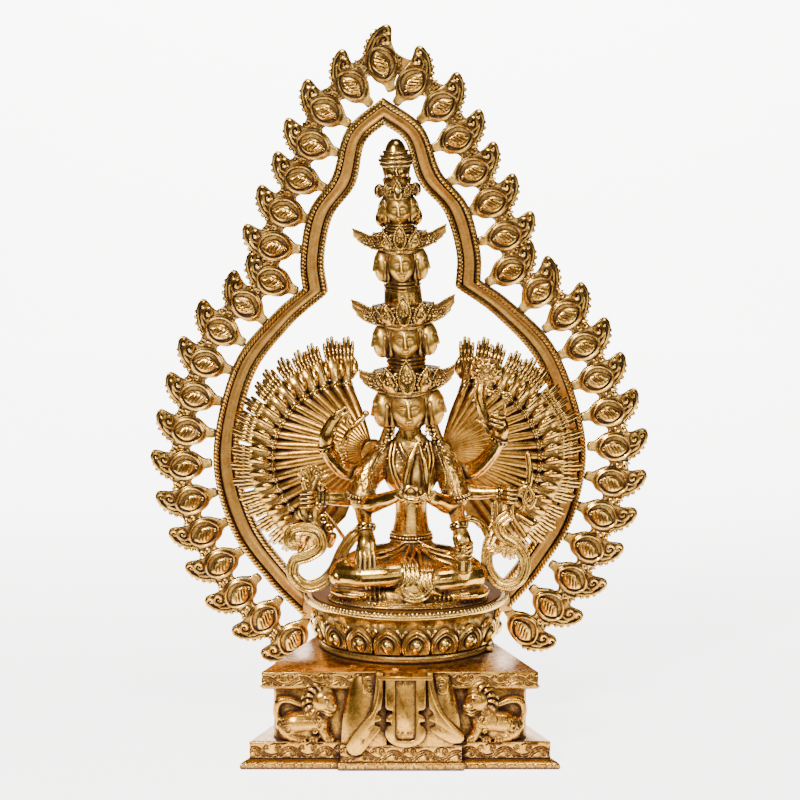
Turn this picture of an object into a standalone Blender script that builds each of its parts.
"""Cast brass figure of the eleven-headed, many-armed Avalokiteshvara.

The figure sits on a lotus seat, the seat stands on a throne with two lions, and a flame
aureole stands behind on the rear of the throne.  Metres, +Z up, the front faces -Y.
The origin is the middle of the whole object's footprint, at the floor.
"""
import math

import bmesh
import bpy
from mathutils import Matrix, Vector

# Throne
THRONE_HEIGHT = 0.0471
PLINTH_WIDTH = 0.1520
PLINTH_HEIGHT = 0.0042
LOWER_SLAB_WIDTH = 0.1431
LOWER_SLAB_HEIGHT = 0.0085
RECESS_WIDTH = 0.1210
TOP_SLAB_WIDTH = 0.1310
TOP_SLAB_HEIGHT = 0.0076
THRONE_TAPER = math.radians(22.0)
THRONE_FRONT_MARGIN = 0.0140
THRONE_BACK_MARGIN = 0.0025
PORCH_WIDTH = 0.0576
PORCH_REACH = 0.0050
PORCH_TOP_WIDTH = 0.0465
PORCH_DEPTH = 0.0150
PORCH_LIP = 0.0016
CLOTH_WIDTH = 0.0192
CLOTH_THICKNESS = 0.0016
LION_LENGTH = 0.0270

# Lotus seat
SEAT_WIDTH = 0.1000
SEAT_DEPTH = 0.0820
SEAT_HEIGHT = 0.0269
SEAT_OFFSET = 0.0030
PETAL_COUNT = 20

# Figure
FIGURE_HEIGHT = 0.2200
FIGURE_OFFSET = 0.0024
BACK_BLOCK_DEPTH = 9.0
TOWER_LEAN = math.radians(2.9)

# Fans of arms
FAN_RADIUS = 0.0605
FAN_WRIST_RADIUS = 0.0365
FAN_SPREAD = 0.0275
FAN_HAND_COUNT = 19
FAN_FIRST_ANGLE = math.radians(2.0)
FAN_HAND_STEP = math.radians(8.5)
FAN_PLATE_THICKNESS = 0.0022
FAN_RIM_CLEARANCE = 0.0060
FAN_WRIST_DEPTH_SHARE = 0.62
FAN_SHOULDER_REACH = 0.0160
FAN_SAG = 0.0030
FAN_RIDGE_RISE = 0.0012
FAN_VALLEY_DROP = 0.0008
FAN_BOSS_RADIUS = 0.0062
FAN_TAB_HALF_HEIGHT = 0.0045
FAN_ROW_SHARES = (0.12, 0.55, 1.00)
HAND_LEVELS = [(0.10, 0.0022, 0.0020), (0.50, 0.0032, 0.0019), (1.00, 0.0027, 0.0008)]

# Aureole
AUREOLE_HEIGHT = 0.2950
AUREOLE_THICKNESS = 0.0048
AUREOLE_SEAT_CLEARANCE = 0.0012
AUREOLE_LEAN = math.radians(2.6)
AUREOLE_OFFSET = 0.0036
ROPE_RADIUS = 0.0015
LEAF_COUNT_PER_SIDE = 19
LEAF_THICKNESS = 0.0030
FOOT_HEIGHT = 0.0180
FOOT_HALF_WIDTH = 0.0530

# Fit between separate castings, and the clean-up of a joined casting
GAP = 0.0003
MERGE_DISTANCE = 2e-6
FLAT_ANGLE = math.radians(3.0)

# Places that the other sizes give
SEAT_CENTRE = Vector((SEAT_OFFSET, 0.0, THRONE_HEIGHT + GAP))
FIGURE_BASE = Vector((SEAT_OFFSET + FIGURE_OFFSET, -0.0010, SEAT_CENTRE.z + SEAT_HEIGHT + GAP))
AUREOLE_Y = SEAT_DEPTH / 2 + AUREOLE_SEAT_CLEARANCE + AUREOLE_THICKNESS / 2
THRONE_FRONT = -SEAT_DEPTH * 0.39 - THRONE_FRONT_MARGIN
THRONE_BACK = AUREOLE_Y + AUREOLE_THICKNESS / 2 + THRONE_BACK_MARGIN
FIGURE_UNIT = FIGURE_HEIGHT / 220.0
AUREOLE_UNIT = AUREOLE_HEIGHT / 295.0


def clear_scene():
    """Remove the objects that the file opens with."""
    for item in list(bpy.data.objects):
        bpy.data.objects.remove(item, do_unlink=True)


def brass(name, colour, roughness):
    """Make one brass finish."""
    material = bpy.data.materials.new(name)
    material.use_nodes = True
    shader = material.node_tree.nodes["Principled BSDF"]
    shader.inputs["Base Color"].default_value = (*colour, 1.0)
    shader.inputs["Metallic"].default_value = 1.0
    shader.inputs["Roughness"].default_value = roughness
    return material


def loft(rings):
    """Close a body through rings of equal count, with a flat cap at each end."""
    body = bmesh.new()
    loops = [[body.verts.new(point) for point in ring] for ring in rings]
    count = len(rings[0])
    for lower, upper in zip(loops, loops[1:]):
        for index in range(count):
            after = (index + 1) % count
            body.faces.new((lower[index], lower[after], upper[after], upper[index]))
    body.faces.new(list(reversed(loops[0])))
    body.faces.new(loops[-1])
    return finished(body)


def finished(body):
    """Turn the faces outward and split them into triangles."""
    bmesh.ops.recalc_face_normals(body, faces=body.faces)
    bmesh.ops.triangulate(body, faces=body.faces)
    return body


def oval(centre, width, depth, sides, turn=0.0):
    """Give one level ring of points."""
    points = []
    for index in range(sides):
        angle = turn + 2.0 * math.pi * index / sides
        offset = Vector((width * math.cos(angle), depth * math.sin(angle), 0.0))
        points.append(centre + offset)
    return points


def tube(route, radii, sides=6, flatness=1.0, face=Vector((0.0, 1.0, 0.0))):
    """Sweep a tapering round or flattened section along a route."""
    rings = []
    for index, point in enumerate(route):
        before = route[max(index - 1, 0)]
        after = route[min(index + 1, len(route) - 1)]
        along = (after - before).normalized()
        side = along.cross(face).normalized()
        front = side.cross(along).normalized()
        radius = radii[index]
        ring = []
        for step in range(sides):
            angle = 2.0 * math.pi * (step + 0.5) / sides
            reach = side * math.cos(angle) + front * (math.sin(angle) * flatness)
            ring.append(point + reach * radius)
        rings.append(ring)
    return loft(rings)


def ball(centre, radii, segments=8, rows=5):
    """Make a stretched sphere."""
    body = bmesh.new()
    place = Matrix.Translation(centre) @ Matrix.Diagonal((*radii, 1.0))
    bmesh.ops.create_uvsphere(body, u_segments=segments, v_segments=rows, radius=1.0, matrix=place)
    return finished(body)


def upright_plate(outline, front, back):
    """Thicken an outline of (x, z) points between two depths."""
    near = [Vector((x, front, z)) for x, z in outline]
    far = [Vector((x, back, z)) for x, z in outline]
    return loft([near, far])


def block(low, high):
    """Make a box between two corners."""
    body = bmesh.new()
    size = Vector(high) - Vector(low)
    place = Matrix.Translation((Vector(high) + Vector(low)) / 2) @ Matrix.Diagonal((*size, 1.0))
    bmesh.ops.create_cube(body, size=1.0, matrix=place)
    return finished(body)


def smooth_points(controls, steps):
    """Read a smooth curve through control points, with even steps in each stretch."""
    points = []
    last = len(controls) - 1
    for index in range(last):
        start = controls[index]
        end = controls[index + 1]
        before = controls[index - 1] if index > 0 else start * 2 - end
        after = controls[index + 2] if index + 2 <= last else end * 2 - start
        for step in range(steps):
            share = step / steps
            points.append(curve_point(before, start, end, after, share))
    points.append(controls[last].copy())
    return points


def curve_point(before, start, end, after, share):
    """Give one point of a Catmull-Rom stretch."""
    square = share * share
    cube = square * share
    return (start * 2.0 + (end - before) * share
            + (before * 2.0 - start * 5.0 + end * 4.0 - after) * square
            + (start * 3.0 - before - end * 3.0 + after) * cube) * 0.5


def even_points(points, count):
    """Divide a run of points into equal lengths and give the points between."""
    lengths = [0.0]
    for start, end in zip(points, points[1:]):
        lengths.append(lengths[-1] + (end - start).length)
    result = []
    segment = 0
    for index in range(count):
        goal = lengths[-1] * index / (count - 1)
        while segment < len(points) - 2 and lengths[segment + 1] < goal:
            segment += 1
        span = lengths[segment + 1] - lengths[segment]
        share = (goal - lengths[segment]) / span
        result.append(points[segment].lerp(points[segment + 1], share))
    return result


def cast(name, bodies, material, kept_share=1.0):
    """Join overlapping bodies into one solid casting, and thin out its seams if asked."""
    operands = bpy.data.collections.new(name + "_operands")
    bpy.context.scene.collection.children.link(operands)
    base = None
    for index, body in enumerate(bodies):
        mesh = bpy.data.meshes.new(f"{name}_{index}")
        body.to_mesh(mesh)
        body.free()
        item = bpy.data.objects.new(f"{name}_{index}", mesh)
        if base is None:
            base = item
            bpy.context.scene.collection.objects.link(item)
        else:
            item.hide_render = True
            item.display_type = "WIRE"
            operands.objects.link(item)
    joining = base.modifiers.new("join", "BOOLEAN")
    joining.operation = "UNION"
    joining.operand_type = "COLLECTION"
    joining.collection = operands
    joining.solver = "EXACT"
    if kept_share < 1.0:
        thinning = base.modifiers.new("thin", "DECIMATE")
        thinning.ratio = kept_share
    graph = bpy.context.evaluated_depsgraph_get()
    joined = bpy.data.meshes.new_from_object(base.evaluated_get(graph))
    for item in list(operands.objects):
        bpy.data.objects.remove(item, do_unlink=True)
    bpy.data.objects.remove(base, do_unlink=True)
    bpy.data.collections.remove(operands)
    clean_mesh(joined)
    joined.name = name
    joined.materials.clear()
    joined.materials.append(material)
    casting = bpy.data.objects.new(name, joined)
    bpy.context.scene.collection.objects.link(casting)
    joined.shade_smooth()
    joined.set_sharp_from_angle(angle=math.radians(35.0))
    return casting


def clean_mesh(mesh):
    """Merge stray points, dissolve nearly flat edges and split the faces into triangles."""
    body = bmesh.new()
    body.from_mesh(mesh)
    bmesh.ops.remove_doubles(body, verts=body.verts, dist=MERGE_DISTANCE)
    bmesh.ops.dissolve_degenerate(body, edges=body.edges, dist=MERGE_DISTANCE)
    bmesh.ops.dissolve_limit(body, angle_limit=FLAT_ANGLE, verts=body.verts, edges=body.edges)
    bmesh.ops.triangulate(body, faces=body.faces)
    body.to_mesh(mesh)
    body.free()


# Throne
def throne_plan(width, inset):
    """Give the four corners of a level of the throne, narrower towards the back."""
    front = THRONE_FRONT + inset
    back = THRONE_BACK - inset
    slope = math.tan(THRONE_TAPER)
    front_half = width / 2
    back_half = front_half - (back - front) * slope
    return [(-front_half, front), (front_half, front), (back_half, back), (-back_half, back)]


def throne_level(levels):
    """Stack plans given as (height, width, inset)."""
    rings = []
    for height, width, inset in levels:
        rings.append([Vector((x, y, height)) for x, y in throne_plan(width, inset)])
    return loft(rings)


def throne_bodies():
    """Make the slabs, the porch with its cloth, and the two lions."""
    slab_bottom = THRONE_HEIGHT - TOP_SLAB_HEIGHT
    shelf = PLINTH_HEIGHT + LOWER_SLAB_HEIGHT
    plinth_inset = (PLINTH_WIDTH - LOWER_SLAB_WIDTH) / 2
    recess_inset = (TOP_SLAB_WIDTH - RECESS_WIDTH) / 2
    lip = 0.0008
    bodies = [
        throne_level([
            (0.0, PLINTH_WIDTH - 2 * lip, -plinth_inset + lip),
            (PLINTH_HEIGHT * 0.3, PLINTH_WIDTH, -plinth_inset),
            (PLINTH_HEIGHT * 0.75, PLINTH_WIDTH, -plinth_inset),
            (PLINTH_HEIGHT, LOWER_SLAB_WIDTH, 0.0),
            (shelf - lip, LOWER_SLAB_WIDTH, 0.0),
            (shelf, LOWER_SLAB_WIDTH - 2 * lip, lip),
            (shelf + lip, RECESS_WIDTH, recess_inset),
            (slab_bottom - lip, RECESS_WIDTH, recess_inset),
            (slab_bottom, TOP_SLAB_WIDTH - 2 * lip, lip),
            (slab_bottom + lip, TOP_SLAB_WIDTH, 0.0),
            (THRONE_HEIGHT - lip, TOP_SLAB_WIDTH, 0.0),
            (THRONE_HEIGHT, TOP_SLAB_WIDTH - 2 * lip, lip),
        ]),
    ]
    bodies += porch_bodies(shelf)
    for side in (-1.0, 1.0):
        bodies += lion_bodies(side, shelf)
    return bodies


def porch_bodies(shelf):
    """Make the block that stands forward in the middle, its curved jambs and its cloth."""
    front = THRONE_FRONT - PORCH_REACH
    half = PORCH_WIDTH / 2
    top_half = PORCH_TOP_WIDTH / 2
    recess_depth = front + PORCH_DEPTH
    step_low = (-half - PORCH_LIP, front - PORCH_LIP, 0.0)
    step_high = (half + PORCH_LIP, recess_depth, PLINTH_HEIGHT - 0.0002)
    bodies = [
        block(step_low, step_high),
        block((-half, front, 0.0002), (half, recess_depth, shelf - 0.0004)),
    ]
    rise = THRONE_HEIGHT - 0.0014 - shelf
    levels = 7
    for side in (-1.0, 1.0):
        rings = []
        for step in range(levels):
            share = step / (levels - 1)
            swell = math.cos(share * math.pi / 2) ** 0.8
            outer = top_half + (half - top_half) * swell
            inner = CLOTH_WIDTH / 2 - 0.002
            depth = front + 0.0006 + (1.0 - swell) * PORCH_REACH * 0.75
            height = shelf - 0.001 + rise * share
            crown = -0.0022 * math.sin(math.pi * (0.25 + 0.5 * share))
            middle = (outer + inner) / 2
            ring = [
                Vector((side * inner, depth, height)),
                Vector((side * middle, depth + crown, height)),
                Vector((side * outer, depth + 0.0016, height)),
                Vector((side * outer, recess_depth, height)),
                Vector((side * inner, recess_depth, height)),
            ]
            rings.append(ring)
        bodies.append(loft(rings))
    bodies += cloth_bodies(front, shelf)
    return bodies


def cloth_bodies(front, shelf):
    """Make the hanging cloth: a tongue with a round end and two side strips."""
    half = CLOTH_WIDTH / 2
    near = front - 0.0016
    far = front + 0.0080
    top = THRONE_HEIGHT - 0.0004
    bottom = shelf + 0.0016
    shoulder = bottom + half * 0.9
    tongue = [(-half, top), (-half, shoulder)]
    for step in range(1, 6):
        angle = math.pi + math.pi * step / 6
        tongue.append((half * math.cos(angle), shoulder + half * 0.9 * math.sin(angle)))
    tongue += [(half, shoulder), (half, top)]
    channel = half * 0.5
    bodies = [upright_plate(tongue, near, far)]
    for side in (-1.0, 1.0):
        edge = [
            (side * channel, top - 0.001),
            (side * half, top - 0.001),
            (side * half, bottom + half * 1.6),
            (side * channel, bottom + half * 1.1),
        ]
        bodies.append(upright_plate(edge, near - CLOTH_THICKNESS * 0.5, near + 0.002))
        strip = [
            (side * half * 1.04, top - 0.0030),
            (side * half * 1.34, top - 0.0030),
            (side * half * 1.50, top - 0.0160),
            (side * half * 2.10, shelf + 0.0100),
            (side * half * 2.62, shelf + 0.0020),
            (side * half * 2.36, shelf - 0.0022),
            (side * half * 1.80, shelf + 0.0005),
            (side * half * 1.40, shelf + 0.0105),
        ]
        bodies.append(upright_plate(strip, front - 0.0030, front + 0.004))
    bodies.append(block((-half * 1.4, near - 0.0004, top - 0.0030), (half * 1.4, far, top + 0.0002)))
    return bodies


def lion_bodies(side, shelf):
    """Make one crouching lion whose head turns towards the porch."""
    unit = LION_LENGTH / 27.0
    hollow = THRONE_FRONT + (TOP_SLAB_WIDTH - RECESS_WIDTH) / 2
    middle = side * (RECESS_WIDTH / 2 - 0.0015 - LION_LENGTH / 2)

    def place(out, forward, up):
        return Vector((middle + side * out * unit, hollow - forward * unit, shelf + up * unit))

    bodies = [
        tube([place(-4, 1.6, 8.0), place(2, 1.9, 9.0), place(8, 1.8, 7.6), place(11.5, 1.4, 5.5)],
             [4.6 * unit, 4.9 * unit, 5.2 * unit, 3.0 * unit], sides=8),
        ball(place(-7.0, 2.4, 16.6), (6.0 * unit, 3.9 * unit, 5.6 * unit), 8, 6),
        ball(place(-11.2, 4.0, 14.8), (3.2 * unit, 2.6 * unit, 2.6 * unit), 6, 4),
        ball(place(8.4, 2.3, 5.2), (4.4 * unit, 3.2 * unit, 4.6 * unit), 8, 5),
        tube([place(-6, 2.6, 10.0), place(-8, 3.6, 4.4), place(-10.5, 4.2, 0.8)],
             [2.9 * unit, 2.2 * unit, 1.8 * unit], sides=6),
        tube([place(6.0, 3.4, 2.4), place(3.4, 4.0, 1.3), place(0.4, 4.2, 1.0)],
             [2.2 * unit, 1.7 * unit, 1.4 * unit], sides=6),
        tube([place(12.0, 1.8, 9.0), place(12.6, 1.8, 14.0), place(8.0, 1.9, 18.4),
              place(1.5, 1.8, 17.0)],
             [1.3 * unit, 1.6 * unit, 1.8 * unit, 1.2 * unit], sides=5),
        tube([place(-9.0, 2.4, 21.0), place(-4.5, 2.8, 23.4), place(0.5, 2.6, 21.6)],
             [1.5 * unit, 1.9 * unit, 1.1 * unit], sides=5),
    ]
    return bodies


# Lotus seat
def seat_body():
    """Make the seat: foot ring, petals, fillet and rim, all on one oval plan."""
    rows = [
        (0.00, 0.830, 0.0),
        (0.10, 0.845, 0.0),
        (0.17, 0.755, 0.0),
        (0.30, 0.800, 0.8),
        (0.46, 0.890, 1.0),
        (0.62, 0.905, 0.4),
        (0.68, 0.875, 0.0),
        (0.80, 0.895, 0.0),
        (0.87, 0.990, 0.0),
        (1.00, 0.985, 0.0),
    ]
    samples = PETAL_COUNT * 2
    rings = []
    for height, reach, swell in rows:
        ring = []
        for index in range(samples):
            angle = 2.0 * math.pi * index / samples - math.pi / 2
            bulge = 0.034 if index % 2 == 0 else -0.026
            scale = reach + swell * bulge
            offset = Vector((
                SEAT_WIDTH / 2 * scale * math.cos(angle),
                SEAT_DEPTH / 2 * scale * math.sin(angle),
                SEAT_HEIGHT * height,
            ))
            ring.append(SEAT_CENTRE + offset)
        rings.append(ring)
    return loft(rings)


# Aureole
def aureole_point(across, height, depth=0.0):
    """Place a point given in the aureole's own units, leaning as the casting does."""
    flat = Matrix.Rotation(-AUREOLE_LEAN, 4, "Y")
    local = flat @ Vector((across * AUREOLE_UNIT, 0.0, height * AUREOLE_UNIT))
    foot = Vector((AUREOLE_OFFSET, AUREOLE_Y + depth, THRONE_HEIGHT + GAP))
    return foot + local


def half_outline(upper, lower, upper_steps, lower_steps):
    """Give one half of an arch: the small lobe down to its cusp, then the large lobe."""
    first = smooth_points([Vector(point) for point in upper], upper_steps)
    second = smooth_points([Vector(point) for point in lower], lower_steps)
    return first[:-1] + second


def band_edges():
    """Give the outer and inner edges of the band, from the apex down one side."""
    outer = half_outline(
        [(0.0, 261.4), (18.5, 246.6), (26.6, 224.0), (39.0, 207.0), (44.2, 184.0), (43.8, 169.5)],
        [(43.8, 169.5), (59.0, 157.5), (80.0, 132.5), (92.4, 88.0), (86.0, 50.0), (69.0, 22.5),
         (52.0, 3.0)],
        2, 2)
    inner = half_outline(
        [(0.0, 248.4), (9.8, 239.5), (15.2, 220.0), (27.0, 204.8), (32.3, 184.0), (31.2, 167.5)],
        [(31.2, 167.5), (51.0, 151.0), (70.5, 126.0), (79.6, 88.0), (73.5, 54.0), (57.5, 28.0),
         (42.0, 10.0)],
        2, 2)
    return outer, inner


def band_section(outer, inner):
    """Give the band's section at one station: two ropes with a hollow channel between."""
    across = (inner - outer).normalized()
    rope = ROPE_RADIUS / AUREOLE_UNIT
    half = AUREOLE_THICKNESS / 2
    stations = [
        (outer, half),
        (outer, -half * 0.6),
        (outer + across * rope, -half - 0.0004),
        (outer + across * rope * 2.2, -half * 0.4),
        (inner - across * rope * 2.2, -half * 0.4),
        (inner - across * rope, -half - 0.0004),
        (inner, -half * 0.6),
        (inner, half),
    ]
    return [aureole_point(point.x, point.y, depth) for point, depth in stations]


def band_body():
    """Sweep the band from one foot over the apex to the other foot."""
    outer, inner = band_edges()
    mirror = Vector((-1.0, 1.0))
    pairs = [(a * mirror, b * mirror) for a, b in zip(reversed(outer), reversed(inner))]
    pairs += list(zip(outer, inner))[1:]
    return loft([band_section(a, b) for a, b in pairs])


def leaf_line():
    """Give the leaf centres of one side, evenly spaced below the crest."""
    controls = [
        (0.0, 277.5), (14.4, 268.0), (27.5, 256.5), (41.0, 225.0), (55.5, 196.0), (57.5, 174.5),
        (85.0, 150.0), (104.0, 100.0), (103.9, 64.0), (83.0, 16.6), (57.7, -8.7),
    ]
    dense = smooth_points([Vector(point) for point in controls], 12)
    return even_points(dense, LEAF_COUNT_PER_SIDE + 1)


LEAF_OUTLINE = [
    (-13.2, -1.3), (-1.2, -6.1), (5.8, -6.0), (11.4, -2.0), (15.2, 3.4),
    (16.6, 8.8), (11.6, 9.6), (6.2, 6.6), (-1.0, 6.1), (-13.2, 1.3),
]
LOWER_WEB_INDEXES = (1, 2)
UPPER_WEB_INDEXES = (8, 7)
LEAF_ALMOND = [(-6.8, 0.0), (-2.2, -3.7), (3.2, -3.7), (7.4, 0.0), (3.2, 3.7), (-2.2, 3.7)]
LEAF_RIDGE = [(-2.4, 0.0), (3.0, 0.0)]
LEAF_ALMOND_FACES = [(0, 1, 0), (1, 2, 0), (2, 3, 1), (3, 4, 1), (4, 5, 1), (5, 0, 0)]
LEAF_TILT = math.radians(5.0)
ALMOND_RIM_HEIGHT = 0.0009
ALMOND_HEIGHT = 0.0024


def stitch(body, outer, inner):
    """Fill the space between two closed loops with triangles, by the shorter diagonal."""
    i = 0
    j = 0
    while i < len(outer) or j < len(inner):
        here = outer[i % len(outer)]
        there = inner[j % len(inner)]
        next_outer = outer[(i + 1) % len(outer)]
        next_inner = inner[(j + 1) % len(inner)]
        outer_step = (next_outer.co - there.co).length
        inner_step = (next_inner.co - here.co).length
        if j >= len(inner) or (i < len(outer) and outer_step <= inner_step):
            body.faces.new((here, next_outer, there))
            i += 1
        else:
            body.faces.new((here, next_inner, there))
            j += 1


def leaf_plate(body, centre, outward, handed, size, stem):
    """Add one flame leaf, a pointed plate on a stem with a raised almond, and give its two rims."""
    up = Vector((-outward.y, outward.x)) * handed
    half = LEAF_THICKNESS / 2

    def place(point, depth):
        reach = point[0] * size * (stem if point[0] < -9.0 else 1.0)
        flat = centre + outward * reach + up * (point[1] * size)
        return body.verts.new(aureole_point(flat.x, flat.y, depth))

    back = [place(point, half) for point in LEAF_OUTLINE]
    front = [place(point, -half) for point in LEAF_OUTLINE]
    almond = [place(point, -half - ALMOND_RIM_HEIGHT) for point in LEAF_ALMOND]
    ridge = [place(point, -half - ALMOND_HEIGHT) for point in LEAF_RIDGE]
    body.faces.new(back)
    stitch(body, front, almond)
    for start, end, top in LEAF_ALMOND_FACES:
        body.faces.new((almond[start], almond[end], ridge[top]))
    body.faces.new((almond[2], ridge[1], ridge[0]))
    body.faces.new((almond[5], ridge[0], ridge[1]))
    return front, back


def leaf_walls(body, front, back, shared):
    """Close a leaf's edge all round, except where a web runs on to its neighbour."""
    count = len(front)
    for index in range(count):
        after = (index + 1) % count
        if {index, after} not in shared:
            body.faces.new((front[index], front[after], back[after], back[index]))


def leaf_web(body, upper, upper_points, lower, lower_points):
    """Join two neighbouring leaves with a flat web that shares their corners."""
    for upper_rim, lower_rim in zip(upper, lower):
        body.faces.new((
            upper_rim[upper_points[0]], upper_rim[upper_points[1]],
            lower_rim[lower_points[1]], lower_rim[lower_points[0]],
        ))
    for corner in (0, 1):
        body.faces.new((
            upper[0][upper_points[corner]], lower[0][lower_points[corner]],
            lower[1][lower_points[corner]], upper[1][upper_points[corner]],
        ))


def flame_border():
    """Make the whole border of leaves as one body, from the crest down both sides."""
    line = leaf_line()
    body = bmesh.new()
    lower_web = set(LOWER_WEB_INDEXES)
    upper_web = set(UPPER_WEB_INDEXES)
    crest_up = Matrix.Rotation(math.radians(18.0), 2) @ Vector((0.0, 1.0))
    crest = leaf_plate(body, line[0], crest_up, -1.0, 1.05, 1.0)
    leaf_walls(body, crest[0], crest[1], [lower_web, upper_web])
    for handed, crest_points in ((-1.0, LOWER_WEB_INDEXES), (1.0, UPPER_WEB_INDEXES)):
        flip = Vector((handed, 1.0))
        above = crest
        above_points = crest_points
        for index in range(1, LEAF_COUNT_PER_SIDE + 1):
            before = line[index - 1]
            after = line[min(index + 1, LEAF_COUNT_PER_SIDE)]
            along = (after - before).normalized()
            outward = Matrix.Rotation(-LEAF_TILT, 2) @ Vector((-along.y, along.x))
            rims = leaf_plate(body, line[index] * flip, outward * flip, handed, 1.0, 1.0)
            last = index == LEAF_COUNT_PER_SIDE
            leaf_walls(body, rims[0], rims[1], [upper_web] if last else [lower_web, upper_web])
            leaf_web(body, above, above_points, rims, UPPER_WEB_INDEXES)
            above = rims
            above_points = LOWER_WEB_INDEXES
    return finished(body)


def foot_bodies():
    """Make the plain bar behind the seat that joins the band's ends and stands on the throne."""
    half = AUREOLE_THICKNESS / 2
    height = FOOT_HEIGHT / AUREOLE_UNIT
    half_width = FOOT_HALF_WIDTH / AUREOLE_UNIT
    corners = [
        (-half_width, 2.0), (-half_width * 0.55, 0.0), (half_width * 0.55, 0.0),
        (half_width, 2.0), (half_width * 0.95, height), (-half_width * 0.95, height),
    ]
    base = THRONE_HEIGHT + GAP
    near = []
    far = []
    for across, up in corners:
        point = aureole_point(across, up)
        if up < 1.0:
            point.z = base
        else:
            point.z = max(point.z, base)
        near.append(Vector((point.x, AUREOLE_Y - half + 0.0002, point.z)))
        far.append(Vector((point.x, AUREOLE_Y + half - 0.0002, point.z)))
    return [loft([near, far])]


# Fans of arms
def fan_bodies(side):
    """Make one fan: a ribbed plate running from the shoulder to a rim of open hands."""
    axis = FIGURE_BASE.x - 0.0022
    middle = Vector((axis + side * FAN_SPREAD, 0.0, FIGURE_BASE.z + 58.7 * FIGURE_UNIT))
    rim_depth = AUREOLE_Y - AUREOLE_THICKNESS / 2 - FAN_RIM_CLEARANCE
    root_depth = FIGURE_BASE.y + BACK_BLOCK_DEPTH * FIGURE_UNIT + GAP + FAN_PLATE_THICKNESS
    wrist_depth = root_depth + (rim_depth - root_depth) * FAN_WRIST_DEPTH_SHARE
    root = Vector((axis + side * FAN_SHOULDER_REACH, root_depth, FIGURE_BASE.z + 66.0 * FIGURE_UNIT))
    wrists = []
    tips = []
    for index in range(FAN_HAND_COUNT):
        angle = FAN_FIRST_ANGLE + FAN_HAND_STEP * index
        out = Vector((side * math.sin(angle), 0.0, math.cos(angle)))
        wrists.append(middle + out * FAN_WRIST_RADIUS + Vector((0.0, wrist_depth, 0.0)))
        tips.append(middle + out * FAN_RADIUS + Vector((0.0, rim_depth, 0.0)))
    boss_front = root - Vector((0.0, FAN_PLATE_THICKNESS * 0.55, 0.0))
    boss_back = root + Vector((0.0, FAN_PLATE_THICKNESS * 1.55, 0.0))
    boss = tube([boss_front, boss_back], [FAN_BOSS_RADIUS] * 2, 10, face=Vector((0.0, 0.0, 1.0)))
    inner = axis + side * 0.0020
    tab_low = (min(inner, root.x), root_depth - FAN_PLATE_THICKNESS, root.z - FAN_TAB_HALF_HEIGHT)
    tab_high = (max(inner, root.x), root_depth + FAN_PLATE_THICKNESS * 0.7,
                root.z + FAN_TAB_HALF_HEIGHT)
    return [fan_surface(root, wrists, tips), boss, block(tab_low, tab_high)]


def fan_row(body, root, goal, relief):
    """Add the points of one ridge, valley or back line, from near the shoulder to the wrist."""
    points = []
    for share in FAN_ROW_SHARES:
        sag = FAN_SAG * math.sin(math.pi * share)
        depth = Vector((0.0, sag + relief * min(1.0, share * 1.4), 0.0))
        points.append(body.verts.new(root + (goal - root) * share + depth))
    return points


def fan_surface(root, wrists, tips):
    """Make the plate of ridged forearms and, past its edge, a bracelet and a hand for each arm."""
    body = bmesh.new()
    edges = [wrists[0] - (wrists[1] - wrists[0]) / 2]
    edges += [(a + b) / 2 for a, b in zip(wrists, wrists[1:])]
    edges.append(wrists[-1] + (wrists[-1] - wrists[-2]) / 2)
    ridges = [fan_row(body, root, wrist, -FAN_RIDGE_RISE) for wrist in wrists]
    valleys = [fan_row(body, root, edge, FAN_VALLEY_DROP) for edge in edges]
    backs = [fan_row(body, root, edge, FAN_PLATE_THICKNESS) for edge in edges]
    levels = range(len(FAN_ROW_SHARES) - 1)
    for index in range(len(wrists)):
        near = (valleys[index], ridges[index], valleys[index + 1])
        far = (backs[index], backs[index + 1])
        for level in levels:
            for a, b in zip(near, near[1:]):
                body.faces.new((a[level], a[level + 1], b[level + 1], b[level]))
            body.faces.new((far[0][level], far[1][level], far[1][level + 1], far[0][level + 1]))
        edge = [near[0][-1], near[1][-1], near[2][-1], far[1][-1], far[0][-1]]
        fan_hand(body, edge, wrists[index], tips[index])
    inner_edge = [valleys[0][0]]
    for ridge, valley in zip(ridges, valleys[1:]):
        inner_edge += [ridge[0], valley[0]]
    inner_edge += [back[0] for back in reversed(backs)]
    body.faces.new(inner_edge)
    for row, back in ((valleys[0], backs[0]), (valleys[-1], backs[-1])):
        for level in levels:
            body.faces.new((row[level], row[level + 1], back[level + 1], back[level]))
    return finished(body)


def fan_hand(body, edge, wrist, tip):
    """Carry one arm on from the plate's edge through its bracelet to the fingertips."""
    reach = tip - wrist
    outward = Vector((reach.x, 0.0, reach.z)).normalized()
    across = Vector((outward.z, 0.0, -outward.x))
    if (edge[2].co - edge[0].co).dot(across) < 0.0:
        across = -across
    previous = edge
    for share, half_width, half_thickness in HAND_LEVELS:
        centre = wrist + reach * share
        wide = across * half_width
        deep = Vector((0.0, half_thickness, 0.0))
        corners = [
            centre - wide,
            centre - deep,
            centre + wide,
            centre + wide * 0.6 + deep,
            centre - wide * 0.6 + deep,
        ]
        ring = [body.verts.new(corner) for corner in corners]
        for index in range(5):
            after = (index + 1) % 5
            body.faces.new((previous[index], previous[after], ring[after], ring[index]))
        previous = ring
    body.faces.new(previous)


# Figure
def body_point(across, depth, height):
    """Place a point of the body, given in the figure's own units above the seat."""
    return FIGURE_BASE + Vector((across, depth, height)) * FIGURE_UNIT


def tower_point(across, depth, height):
    """Place a point of the leaning tower of heads."""
    pivot = 66.0
    lean = Matrix.Rotation(-TOWER_LEAN, 4, "Y")
    local = lean @ Vector((across, depth, height - pivot))
    return body_point(local.x, local.y, local.z + pivot)


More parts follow.
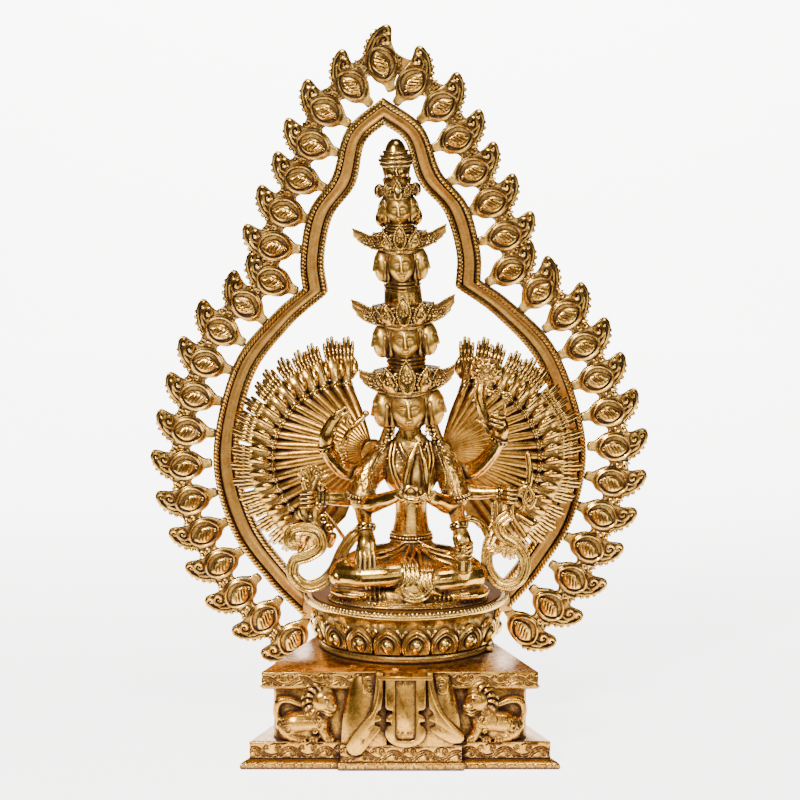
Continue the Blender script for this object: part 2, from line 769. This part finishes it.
def body_tube(route, radii, sides=6, flatness=1.0):
    """Sweep an arm, leg or scarf through points in the figure's units."""
    points = [body_point(*point) for point in route]
    return tube(points, [radius * FIGURE_UNIT for radius in radii], sides, flatness)


def body_ball(centre, radii, segments=8, rows=5):
    """Make a rounded mass in the figure's units."""
    return ball(body_point(*centre), tuple(radius * FIGURE_UNIT for radius in radii), segments, rows)


def torso_body():
    """Loft the trunk from the hips to the neck."""
    rows = [
        (0.0, 0.5, 2.0, 20.0, 12.0),
        (0.0, 0.5, 20.0, 13.0, 10.5),
        (0.0, 0.0, 28.0, 9.8, 8.4),
        (0.0, 0.0, 31.5, 8.8, 7.6),
        (0.0, 0.0, 46.0, 7.9, 6.6),
        (0.0, 0.0, 54.0, 13.5, 7.8),
        (0.0, 0.5, 64.0, 17.5, 8.2),
        (0.0, 0.5, 70.0, 16.5, 7.2),
        (-0.4, 0.5, 74.5, 9.0, 6.0),
        (-1.2, 0.0, 80.0, 4.8, 4.8),
    ]
    rings = []
    for across, depth, height, width, thickness in rows:
        centre = body_point(across, depth, height)
        rings.append(oval(centre, width * FIGURE_UNIT, thickness * FIGURE_UNIT, 12))
    return loft(rings)


def leg_bodies():
    """Make the crossed legs, the lap, the hem pads and the round front fold."""
    bodies = [
        body_tube([(-5.0, 2.0, 14.0), (-19.0, -6.0, 15.0), (-31.0, -18.0, 14.5), (-35.0, -22.0, 12.5)],
                  [9.5, 9.0, 7.6, 4.8], 8),
        body_tube([(5.0, 2.0, 14.0), (17.0, -6.0, 15.0), (27.0, -17.0, 14.0), (30.5, -21.0, 12.0)],
                  [9.5, 9.0, 7.6, 4.8], 8),
        body_tube([(-34.0, -20.0, 13.5), (-22.0, -25.5, 14.0), (-8.0, -27.0, 16.0), (2.0, -24.0, 18.0)],
                  [6.4, 6.2, 5.6, 4.2], 8),
        body_tube([(30.0, -19.0, 13.0), (18.0, -26.0, 13.0), (5.0, -29.0, 11.5), (-6.0, -29.0, 9.0)],
                  [6.2, 5.9, 4.8, 3.6], 8),
        body_ball((-0.5, -12, 11), (22, 14, 11.0), 10, 5),
    ]
    hem = []
    for height, spread in ((0.0, 0.96), (4.5, 1.03), (9.0, 0.92)):
        hem.append(hem_ring(height, spread))
    bodies.append(loft(hem))
    fold = [(-9.6, 9.0)]
    for step in range(1, 6):
        angle = math.pi + math.pi * step / 6
        fold.append((9.6 * math.cos(angle), 9.0 + 7.0 * math.sin(angle)))
    fold.append((9.6, 9.0))
    near = [body_point(x, -34.5 + z * 0.25, z) for x, z in fold]
    far = [body_point(x, -26.0, z) for x, z in fold]
    bodies.append(loft([near, far]))
    return bodies


def hem_ring(height, spread):
    """Give one level of the cloth that spreads on the seat, with a scalloped edge."""
    ring = []
    sides = 20
    for index in range(sides):
        angle = 2.0 * math.pi * index / sides
        scallop = 1.0 + (0.025 if index % 2 else -0.025)
        across = -1.5 + 38.5 * spread * scallop * math.cos(angle)
        depth = -9.5 + 21.5 * spread * scallop * math.sin(angle)
        ring.append(body_point(across, depth, height))
    return ring


def front_arm_bodies():
    """Make the first pair of arms, whose hands meet before the chest."""
    bodies = []
    for side, elbow in ((-1.0, 24.0), (1.0, 21.5)):
        bodies.append(body_tube(
            [(side * 13.5, 0.0, 69.5), (side * (elbow - 3.0), -2.5, 60.0), (side * elbow, -7.0, 45.0)],
            [5.4, 5.8, 4.2], 7))
        bodies.append(body_tube(
            [(side * elbow, -6.0, 44.0), (side * 12.5 - 0.3, -18.0, 49.0), (side * 5.0 + 0.3, -24.0, 54.0)],
            [4.2, 3.6, 2.8], 7))
        bodies.append(body_tube(
            [(side * 4.4 - 0.2, -24.4, 53.0), (side * 5.0 + 1.0, -26.0, 62.0),
             (side * 3.4 + 1.9, -25.2, 70.0), (side * 0.7 + 2.6, -22.8, 78.5)],
            [2.6, 2.2, 2.0, 1.2], 5))
    bodies.append(body_ball((-0.8, -26.6, 56.0), (4.2, 2.6, 2.8), 7, 5))
    return bodies


def lower_arm_bodies():
    """Make the second pair: an open giving hand on the left, a hand with a flask on the right."""
    return [
        body_tube([(-15.0, 3.0, 60.0), (-23.5, 1.0, 49.0), (-24.5, -8.0, 41.0), (-21.6, -22.0, 33.5)],
                  [4.2, 4.0, 3.6, 2.8], 6),
        body_tube([(-21.6, -20.5, 35.5), (-20.8, -25.0, 27.0), (-20.6, -27.0, 17.0), (-20.6, -28.0, 8.5)],
                  [3.0, 4.8, 4.4, 2.6], 6, 0.55),
        body_tube([(15.0, 3.0, 60.0), (21.0, 1.0, 49.0), (22.0, -8.0, 42.0), (22.6, -21.0, 36.0)],
                  [4.2, 4.0, 3.6, 3.0], 6),
        body_tube([(22.6, -20.0, 38.0), (23.8, -24.0, 29.0), (24.4, -25.5, 20.0), (24.4, -25.5, 13.0)],
                  [3.4, 5.0, 4.4, 3.2], 6),
    ]


def middle_arm_bodies():
    """Make the level forearms, with the bunch of stems on the left and the bow on the right."""
    return [
        body_tube([(-14.0, 3.0, 62.0), (-24.0, 3.0, 52.0), (-28.0, 1.0, 46.5), (-44.0, -6.0, 48.5)],
                  [4.2, 4.0, 3.6, 2.8], 6),
        body_ball((-49.0, -8.0, 48.5), (6.0, 3.8, 5.0), 7, 5),
        body_tube([(-49.0, -8.5, 58.0), (-51.5, -9.5, 48.0), (-50.0, -9.0, 38.0), (-46.0, -9.0, 30.0)],
                  [4.4, 3.2, 3.0, 2.6], 6, 0.7),
        body_tube([(-47.0, -8.0, 27.0), (-36.5, -6.5, 42.0)], [3.0, 2.4], 6),
        body_tube([(14.0, 3.0, 62.0), (22.0, 3.0, 54.0), (26.5, 1.0, 50.0), (42.0, -6.0, 51.0)],
                  [4.2, 4.0, 3.6, 2.8], 6),
        body_ball((47.0, -8.0, 49.5), (5.4, 3.8, 5.0), 7, 5),
        body_tube([(55.0, -8.0, 66.0), (54.0, -9.0, 56.0), (49.0, -9.5, 47.0), (52.0, -9.0, 33.0)],
                  [2.2, 2.6, 3.0, 2.4], 6),
    ]


def raised_arm_bodies():
    """Make the raised forearms, with the beads on the left and the lotus flower on the right."""
    return [
        body_tube([(-14.5, 3.0, 64.0), (-24.0, 3.0, 60.0), (-32.0, 1.0, 60.5), (-40.0, -5.0, 72.0)],
                  [4.2, 4.2, 4.0, 3.2], 6),
        body_tube([(-43.0, -6.0, 69.0), (-40.5, -7.5, 78.0), (-36.0, -8.0, 85.0), (-31.5, -7.5, 91.0)],
                  [3.0, 4.4, 4.0, 1.8], 6, 0.8),
        body_tube([(-37.0, -6.0, 83.0), (-29.0, -6.5, 82.5), (-22.5, -6.0, 86.0)], [2.4, 2.2, 1.6], 5),
        body_tube([(14.5, 3.0, 64.0), (23.0, 3.0, 60.0), (32.0, 1.0, 61.5), (41.5, -5.0, 74.0),
                   (42.0, -6.5, 81.0), (40.0, -7.0, 90.0)],
                  [4.2, 4.2, 4.0, 3.2, 4.4, 3.0], 6),
        body_tube([(40.5, -6.5, 88.0), (37.5, -6.5, 98.0), (35.8, -6.0, 106.0)], [2.8, 2.4, 2.2], 5),
        tube([body_point(35.5, -9.0, 110.8), body_point(35.5, -4.5, 110.8)],
             [6.8 * FIGURE_UNIT, 5.8 * FIGURE_UNIT], 9, 1.0, Vector((0.0, 0.0, 1.0))),
    ]


def scarf_bodies():
    """Make the looping ends of the scarf beside the knees."""
    left = [(-22.5, -17.0, 35.0), (-33.0, -18.0, 21.0), (-42.0, -17.0, 8.5), (-51.0, -16.0, 5.0),
            (-57.0, -14.5, 12.0), (-49.0, -13.5, 19.5), (-44.5, -13.0, 25.0), (-50.0, -12.0, 32.0),
            (-58.0, -11.5, 32.0), (-59.5, -11.5, 24.5)]
    right = [(41.0, -8.0, 48.0), (41.5, -10.0, 36.0), (37.0, -13.0, 24.0), (37.0, -15.0, 13.0),
             (44.0, -16.0, 6.5), (52.5, -15.0, 11.0), (53.0, -14.0, 21.0), (47.0, -13.0, 29.0),
             (42.5, -12.0, 35.0)]
    left_radii = [2.2, 2.8, 3.6, 3.8, 3.8, 3.6, 3.6, 3.6, 3.4, 2.6]
    right_radii = [2.0, 2.8, 3.4, 3.8, 3.8, 3.8, 3.6, 3.2, 2.4]
    return [
        body_tube(left, left_radii, 5, 0.7),
        body_tube(right, right_radii, 5, 0.7),
        body_tube([(22.0, -14.0, 37.0), (31.0, -13.0, 42.0), (41.0, -10.0, 45.0)], [2.2, 2.2, 2.0], 5),
    ]


def crown_body(base, width, depth, rise, wing, wing_rise, front_reach, sides=14):
    """Make a leaf crown: an oval cup whose edge rises to a front leaf and two side wings."""
    foot = []
    edge = []
    inner = []
    floor = []
    for index in range(sides):
        angle = 2.0 * math.pi * index / sides
        across = width * math.cos(angle)
        back = depth * math.sin(angle)
        winged = abs(math.cos(angle)) ** 8.0
        facing = max(0.0, -math.sin(angle))
        fronted = facing ** 8.0
        notch = 0.72 if index % 2 else 1.0
        reach = 1.12 + (wing / width - 1.12) * winged
        front = 1.10 + (front_reach / depth - 1.10) * fronted
        height = rise * notch * (0.55 + 0.25 * facing) + wing_rise * winged + rise * 0.5 * fronted
        top = base + height
        foot.append(tower_point(across, back, base))
        edge.append(tower_point(across * reach, back * front, top))
        inner.append(tower_point(across * (reach - 0.2), back * (front - 0.2), top - 0.8))
        floor.append(tower_point(across * 0.5, back * 0.5, base + 1.0))
    return loft([foot, edge, inner, floor])


def tier_bodies(face, height, half_width, spread, neck, next_height):
    """Make one tier of the tower: a front head, two side heads, a neck and hair behind."""
    levels = [
        (face - height * 0.95, neck, neck * 0.9),
        (face - height * 0.55, neck * 1.02, neck * 0.95),
        (face - height * 0.10, spread * 0.86, half_width * 1.15),
        (face + height * 0.45, spread * 0.92, half_width * 1.2),
        (next_height, neck * 0.98, neck * 0.9),
    ]
    sides = 8
    core = []
    for level, width, depth in levels:
        ring = []
        for index in range(sides):
            angle = 2.0 * math.pi * (index + 0.5) / sides
            ring.append(tower_point(width * math.cos(angle), 0.8 + depth * math.sin(angle), level))
        core.append(ring)
    front = tower_point(0.0, -half_width * 0.62, face)
    head = Vector((half_width, half_width * 0.85, height * 0.60)) * FIGURE_UNIT
    side_head = Vector((half_width * 0.62, half_width * 0.9, height * 0.52)) * FIGURE_UNIT
    bodies = [loft(core), ball(front, tuple(head), 8, 5)]
    for side in (-1.0, 1.0):
        centre = tower_point(side * (spread - half_width * 0.55), 0.5, face - 0.3)
        bodies.append(ball(centre, tuple(side_head), 6, 4))
    return bodies


def tower_bodies():
    """Stack the five tiers of heads with their crowns."""
    bodies = []
    bodies += tier_bodies(91.0, 17.5, 8.2, 17.0, 5.4, 112.0)
    bodies.append(crown_body(98.5, 15.5, 10.6, 13.5, 23.6, 5.6, 13.8))
    bodies += tier_bodies(124.2, 15.5, 7.0, 15.4, 8.8, 149.0)
    bodies.append(crown_body(131.0, 14.4, 9.6, 12.0, 25.2, 7.6, 12.0))
    bodies += tier_bodies(160.4, 15.0, 6.4, 12.8, 7.8, 176.0)
    bodies.append(crown_body(167.2, 12.4, 8.6, 10.0, 22.8, 6.4, 10.6))
    bodies += tier_bodies(186.6, 12.0, 6.2, 9.4, 7.0, 201.0)
    bodies.append(crown_body(192.2, 8.6, 7.2, 6.6, 10.4, 0.0, 8.2))
    top = tower_point(0.0, -0.6, 205.4)
    unit = FIGURE_UNIT
    bodies += [
        ball(top, (5.6 * unit, 5.6 * unit, 7.4 * unit), 8, 5),
        ball(tower_point(0.0, 0.2, 209.4), (7.8 * unit, 6.6 * unit, 4.2 * unit), 8, 4),
        ball(tower_point(0.0, 0.2, 214.6), (4.6 * unit, 4.6 * unit, 5.4 * unit), 7, 4),
    ]
    for side in (-1.0, 1.0):
        bodies.append(ball(tower_point(side * 8.0, 1.0, 183.0), (3.4 * unit, 3.4 * unit, 4.4 * unit), 6, 4))
        bodies.append(tube([tower_point(side * 8.6, 0.0, 84.0), tower_point(side * 12.0, 0.5, 76.0),
                            tower_point(side * 15.0, 0.5, 70.0)],
                           [3.0 * unit, 2.6 * unit, 2.0 * unit], 6))
    return bodies


def figure_bodies():
    """Gather the body, arms, scarves and heads."""
    back_block = block(body_point(-18.0, 4.0, 59.0), body_point(18.0, BACK_BLOCK_DEPTH, 72.0))
    bodies = [torso_body(), back_block]
    bodies += leg_bodies()
    bodies += front_arm_bodies()
    bodies += lower_arm_bodies()
    bodies += middle_arm_bodies()
    bodies += raised_arm_bodies()
    bodies += scarf_bodies()
    bodies += tower_bodies()
    return bodies


def centre_on_footprint(castings):
    """Move every casting so that the middle of the whole box stands on the origin."""
    corners = [point.co for casting in castings for point in casting.data.vertices]
    middle_x = (min(c.x for c in corners) + max(c.x for c in corners)) / 2
    middle_y = (min(c.y for c in corners) + max(c.y for c in corners)) / 2
    shift = Matrix.Translation((-middle_x, -middle_y, 0.0))
    for casting in castings:
        casting.data.transform(shift)


def main():
    """Build every casting."""
    clear_scene()
    gold = brass("brass_gold", (0.62, 0.38, 0.10), 0.34)
    satin = brass("brass_satin", (0.55, 0.34, 0.10), 0.42)
    aged = brass("brass_aged", (0.50, 0.29, 0.08), 0.40)
    castings = [
        cast("throne", throne_bodies(), aged, 0.55),
        cast("lotus_seat", [seat_body()], gold),
        cast("figure", figure_bodies(), gold, 0.46),
        cast("arm_fan_left", fan_bodies(-1.0), gold),
        cast("arm_fan_right", fan_bodies(1.0), gold),
        cast("aureole", [band_body(), flame_border()] + foot_bodies(), satin),
    ]
    centre_on_footprint(castings)


main()
